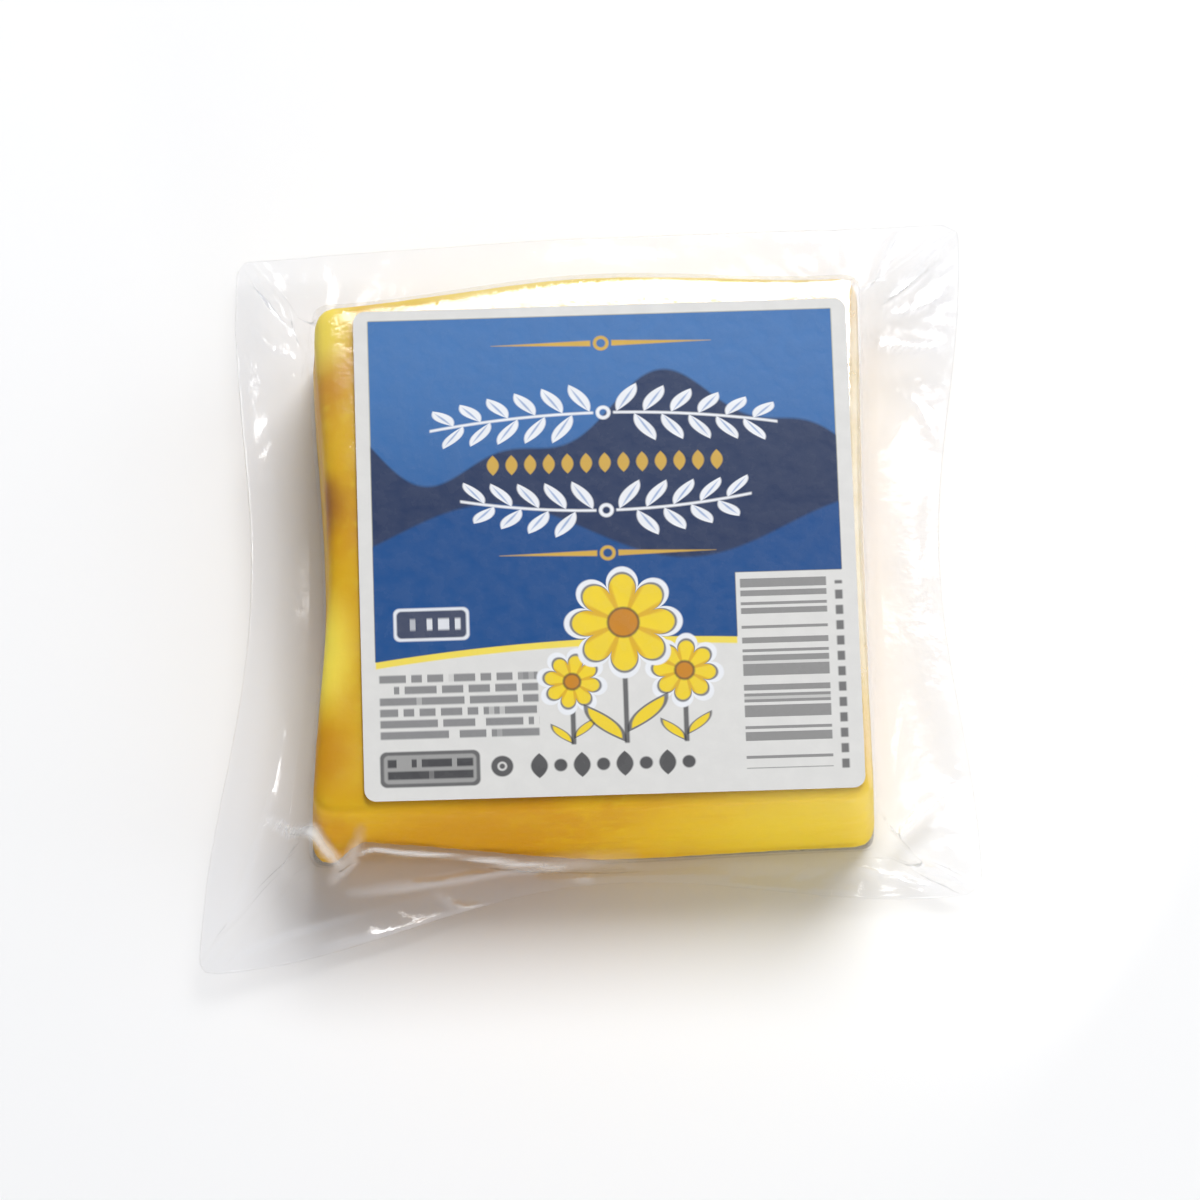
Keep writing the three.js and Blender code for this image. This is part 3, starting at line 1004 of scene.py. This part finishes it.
def makeLabelMaterial():
    material, tree = newMaterial('printedLabel')
    look = labelPrint
    boxMask, ringMask, leafMask = makeBoxMask(), makeRingMask(), makeLeafMask()
    middle = (labelMiddle.x, labelMiddle.y, labelLow.z)
    place = millimetrePlace(tree, middle, math.radians(labelSheet['turnDegrees']))
    place = vectors(tree, 'MULTIPLY', place, (1, 1, 0))
    u, v = splitUp(tree, place)[:2]
    colour = look['paper']

    def using(operation):
        return lambda *values: maths(tree, operation, *values)

    add, minus, divided = using('ADD'), using('SUBTRACT'), using('DIVIDE')
    whole, magnitude = using('FLOOR'), using('ABSOLUTE')

    def times(*values):
        result = values[0]
        for value in values[1:]:
            result = maths(tree, 'MULTIPLY', result, value)
        return result

    def part(value):
        # what is past the last whole number, from its middle
        return minus(maths(tree, 'FRACT', value), 0.5)

    def above(value, edge, width=look['softEdge']):
        # 1 where the value passes the edge, with a soft step
        return maths(tree, 'ADD', divided(minus(value, edge), width), 0.5, clamp=True)

    def paint(mask, ink, share=1.0):
        nonlocal colour
        if share != 1.0:
            mask = times(mask, share)
        colour = mixColours(tree, mask, colour, look[ink] if isinstance(ink, str) else ink)

    def box(edges, radius=look['boxRadius'], at=place):
        left, low, right, high = edges
        return useMask(tree, boxMask, {
            'Place': at, 'Centre': ((left + right) / 2, (low + high) / 2, 0),
            'Half Size': ((right - left) / 2, (high - low) / 2, 1), 'Corner Radius': radius,
        })

    def ring(x, y, radius, halfWidth, at=place):
        return useMask(tree, ringMask, {
            'Place': at, 'Centre': (x, y, 0), 'Radius': radius, 'Half Width': halfWidth,
        })

    def leaf(x, y, halfWidth, halfHeight, lean, at=place):
        return useMask(tree, leafMask, {
            'Place': at, 'Centre': (x, y, 0), 'Half Size': (halfWidth, halfHeight, 1), 'Lean': lean,
        })

    def tiled(pitch, start, rowV):
        # the place within one tile of a row that repeats along u, and the tile's number
        count = divided(minus(u, start), pitch)
        return placeAt(tree, times(part(count), pitch), minus(v, rowV)), whole(count)

    def randomAt(value, seed):
        cell = placeAt(tree, value, seed, 0.5)
        return addNode(tree, 'TexWhiteNoise', {'Vector': cell}).outputs['Value']

    # the blue field, its bowed lower edge and the yellow stripe beneath it
    bow = look['curve']
    fromMiddle = minus(u, bow['middle'])
    curve = add(times(fromMiddle, fromMiddle, -bow['drop']), bow['top'])
    field = times(box(look['field']), minus(1.0, box(look['cutCorner'])))
    paint(times(field, above(v, minus(curve, bow['stripe']))), 'stripe')
    blueMask = times(field, above(v, curve))
    paint(blueMask, mixColours(tree, remap(tree, v, *look['fade'], 0, 1), look['blueLow'], look['blueTop']))

    # rows of hills, darker than the field
    for level, waves, ink, share in look['hills']:
        for height, pace, start in waves:
            wave = maths(tree, 'SINE', maths(tree, 'MULTIPLY_ADD', u, pace, start))
            level = maths(tree, 'MULTIPLY_ADD', wave, height, level)
        paint(times(blueMask, above(level, v, look['hillEdge'])), ink, share)

    # tapering gold rules with a small ring in the middle, and a short row of gold lozenges between
    aside = magnitude(minus(u, look['middle']))
    rule = look['rule']
    for ruleV, reach in look['rules']:
        half = times(minus(1.0, divided(aside, reach)), rule['halfWidth'])
        thin = minus(half, magnitude(minus(v, ruleV)))
        paint(times(above(thin, 0.0), above(aside, rule['gap']), above(reach, aside)), 'gold')
        paint(ring(look['middle'], ruleV, *rule['ring']), 'gold')
    row = look['lozenges']
    start, end = look['middle'] - row['reach'], look['middle'] + row['reach']
    tile = tiled(row['pitch'], start, row['place'])[0]
    shown = box((start, row['place'] - row['halfRow'], end, row['place'] + row['halfRow']))
    paint(times(shown, leaf(0, 0, *row['size'], 0.0, tile)), 'gold', 0.95)

    # two bowed garlands: white leaves in pairs on a thin stem, growing outwards from the middle
    sprig = look['sprig']
    for low, bend, reach, pitch in look['garlands']:
        far = divided(aside, reach)
        height = minus(minus(v, low), times(minus(1.0, times(far, far)), bend))
        taper = minus(1.0, times(far, sprig['taper']))
        row = times(above(reach, aside), above(aside, sprig['gap']))
        paint(times(row, above(sprig['halfStem'], magnitude(height))), 'white')
        leaves = round((reach - sprig['gap']) / pitch)
        for side, shift in ((1, 0.0), (-1, sprig['stagger'])):
            count = add(divided(minus(aside, sprig['gap']), pitch), shift)
            tile = placeAt(tree, times(part(count), pitch), divided(height, taper))
            number = whole(count)
            shown = times(above(number, math.ceil(shift) - 0.5), above(leaves - 0.5, number))
            for out, halfWidth, halfLength, ink in sprig['leaf']:
                shape = leaf(0, out * side, halfWidth, halfLength, sprig['lean'] * side, tile)
                paint(times(shown, shape), ink)
        paint(ring(look['middle'], low + bend, *sprig['ring']), 'white')

    # plain boxes, lines of dashes and a small ring with a dot
    for edges, radius, ink, share in look['boxes']:
        paint(box(edges, radius), ink, share)
    dash = look['dash']
    for edges, linePitch, dashPitch, seed, ink, share in look['dashes']:
        line = divided(minus(v, edges[1]), linePitch)
        number = whole(line)
        across = whole(add(divided(u, dashPitch), randomAt(number, seed)))
        filled = above(randomAt(across, add(number, seed * 3)), dash['gaps'], dash['endEdge'])
        tall = above(dash['halfHeight'], magnitude(part(line)), dash['sideEdge'])
        paint(times(filled, tall, box(edges)), ink, share)
    for circle in look['rings']:
        paint(ring(*circle), 'ink', 0.9)

    # a row of dark beads and lozenges
    row = look['beads']
    tile, number = tiled(row['pitch'], row['start'], row['place'])
    shown = box(row['row'])
    odd = maths(tree, 'MODULO', magnitude(number), 2.0)
    paint(times(shown, ring(0, 0, 0.0, row['bead'], tile), odd), 'ink', 0.92)
    paint(times(shown, leaf(0, 0, *row['lozenge'], 0.0, tile), minus(1.0, odd)), 'ink', 0.92)

    # three yellow daisies on stems, with white edges
    daisy = look['daisy']
    for x, y, wide, turn in look['daisies']:
        angle = add(maths(tree, 'ARCTAN2', minus(v, y), minus(u, x)), turn)
        reach = vectors(tree, 'LENGTH', vectors(tree, 'SUBTRACT', place, (x, y, 0)))
        lobes = magnitude(maths(tree, 'COSINE', times(angle, daisy['petals'] / 2)))
        petal = maths(tree, 'POWER', lobes, daisy['fullness'])
        petal = maths(tree, 'MULTIPLY_ADD', petal, wide * daisy['notch'], wide * (1 - daisy['notch']))
        foot, half, edge = daisy['foot'], daisy['halfStem'], daisy['stemEdge']
        paint(box((x - half - edge, foot - edge, x + half + edge, y)), 'paper')
        paint(box((x - half, foot, x + half, y)), 'ink', 0.85)
        for side in (-1, 1):
            up, more = daisy['leafUp']
            rise = foot + wide * (up + more * side)
            for shares, ink, share in ((daisy['leafEdge'], 'ink', 0.8), (daisy['leaf'], 'flower', 1.0)):
                halfWidth, halfHeight = (wide * each for each in shares)
                shape = leaf(x + daisy['leafOut'] * wide * side, rise, halfWidth, halfHeight, side)
                paint(shape, ink, share)
        for wider, ink, share in daisy['rims']:
            paint(above(add(petal, wider), reach), ink, share)
        between = above(daisy['shadeFrom'], lobes, daisy['shadeEdge'])
        paint(times(above(petal, reach), between), 'flowerHeart', 0.5)
        paint(ring(x, y, 0.0, wide * daisy['heart']), 'flowerHeart')
        paint(ring(x, y, wide * daisy['heart'], daisy['heartLine']), 'ink', 0.7)

    # a plain pattern of bars, with dashes beside it
    bars = look['bars']
    dark = above(randomAt(whole(divided(v, bars['pitch'])), bars['seed']), bars['gaps'], bars['edge'])
    paint(times(dark, box(bars['box'], bars['radius'])), 'ink', 0.95)
    beside = look['sideDashes']
    dark = above(beside['halfHeight'], magnitude(part(divided(v, beside['pitch']))), beside['edge'])
    paint(times(dark, box(beside['box'])), 'ink', 0.8)

    grain = noiseAt(tree, place, **look['grain'])
    paint(remap(tree, grain, *usualNoise, 0, look['grainTint']), 'greyInk')
    shader = addNode(tree, 'BsdfPrincipled', {
        'Base Color': colour,
        'Roughness': remap(tree, grain, *usualNoise, *look['roughness']),
        'Specular IOR Level': look['shine'],
        'Normal': bumps(tree, grain, look['bump'], look['bumpDepth']),
    })
    showShader(tree, shader)
    return material


cheeseBlock.data.materials.append(makeCheddar())
filmPouch.data.materials.append(makeFilmMaterial())
printedLabel.data.materials.append(makeLabelMaterial())
print('materials made')

for piece, node, slot in (
    (cheeseBlock, "pouch", "cheese"),
    (filmPouch, "pouch", "film"),
    (printedLabel, "label", "label"),
):
    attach(piece, "root")
    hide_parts(node)


# Table, light and camera

studio = {
    'floorSize': 6.0,
    'floorColour': (0.93, 0.93, 0.93, 1),
    'world': 0.16,
    'worldInGloss': 1.0,
    'worldColour': (0.93, 0.97, 1.07, 1),
    'lamps': {
        # way it comes from in degrees (0 is the front, 90 the right), height in degrees,
        # distance and size in metres, power in watts, and whether gloss shows it
        'mainLamp': (160, 54, 2.0, 1.0, 38.5, True),
        'rightBox': (98, 33, 2.5, 1.8, 12, True),
        'leftCard': (-88, 21, 1.2, 0.6, 1.7, False),
        'frontCard': (8, 3.5, 1.0, 0.1, 5.6, False),
        'rightCard': (53, 16.7, 0.104, 0.02, 0.003, False),
    },
    'lens': 295,
    'distance': 1.6,
    'azimuth': -2.0,
    'elevation': 70.0,
    'aim': (1.3, 0.45, 0.0),
}


def wayBack(azimuth, elevation):
    a, e = math.radians(azimuth), math.radians(elevation)
    return Vector((math.sin(a) * math.cos(e), -math.cos(a) * math.cos(e), math.sin(e)))


def makeStudio():
    deselectAll()
    bpy.ops.mesh.primitive_plane_add(size=studio['floorSize'], location=(0, 0, 0))
    floor = nameNew('paleTable')
    material, tree = newMaterial('paleTable')
    shader = addNode(tree, 'BsdfPrincipled', {
        'Base Color': studio['floorColour'],
        'Roughness': 0.8,
        'Specular IOR Level': 0.2,
    })
    showShader(tree, shader)
    floor.data.materials.append(material)
    for name, (azimuth, elevation, distance, size, power, inGloss) in studio['lamps'].items():
        way = wayBack(azimuth, elevation)
        bpy.ops.object.light_add(type='AREA', location=way * distance)
        lamp = nameNew(name)
        lamp.rotation_euler = way.to_track_quat('Z', 'Y').to_euler()
        lamp.data.shape = 'SQUARE'
        lamp.data.size = size
        lamp.data.energy = power
        lamp.visible_camera = False
        lamp.visible_glossy = inGloss
    world = bpy.data.worlds.new('softRoom')
    world.use_nodes = True
    background = world.node_tree.nodes['Background']
    background.inputs['Color'].default_value = studio['worldColour']
    seenInGloss = addNode(world.node_tree, 'LightPath').outputs['Is Glossy Ray']
    more = studio['worldInGloss'] - studio['world']
    strength = maths(world.node_tree, 'MULTIPLY_ADD', seenInGloss, more, studio['world'])
    world.node_tree.links.new(strength, background.inputs['Strength'])
    bpy.context.scene.world = world
    way = wayBack(studio['azimuth'], studio['elevation'])
    aim = Vector(studio['aim']) * mm + blockMiddle
    bpy.ops.object.camera_add(location=aim + way * studio['distance'])
    camera = nameNew('photoCamera')
    camera.rotation_euler = way.to_track_quat('Z', 'Y').to_euler()
    camera.data.lens = studio['lens']
    camera.data.clip_start = 0.05
    bpy.context.scene.camera = camera
    bpy.context.scene.view_settings.view_transform = 'Standard'


makeStudio()
print('studio set')
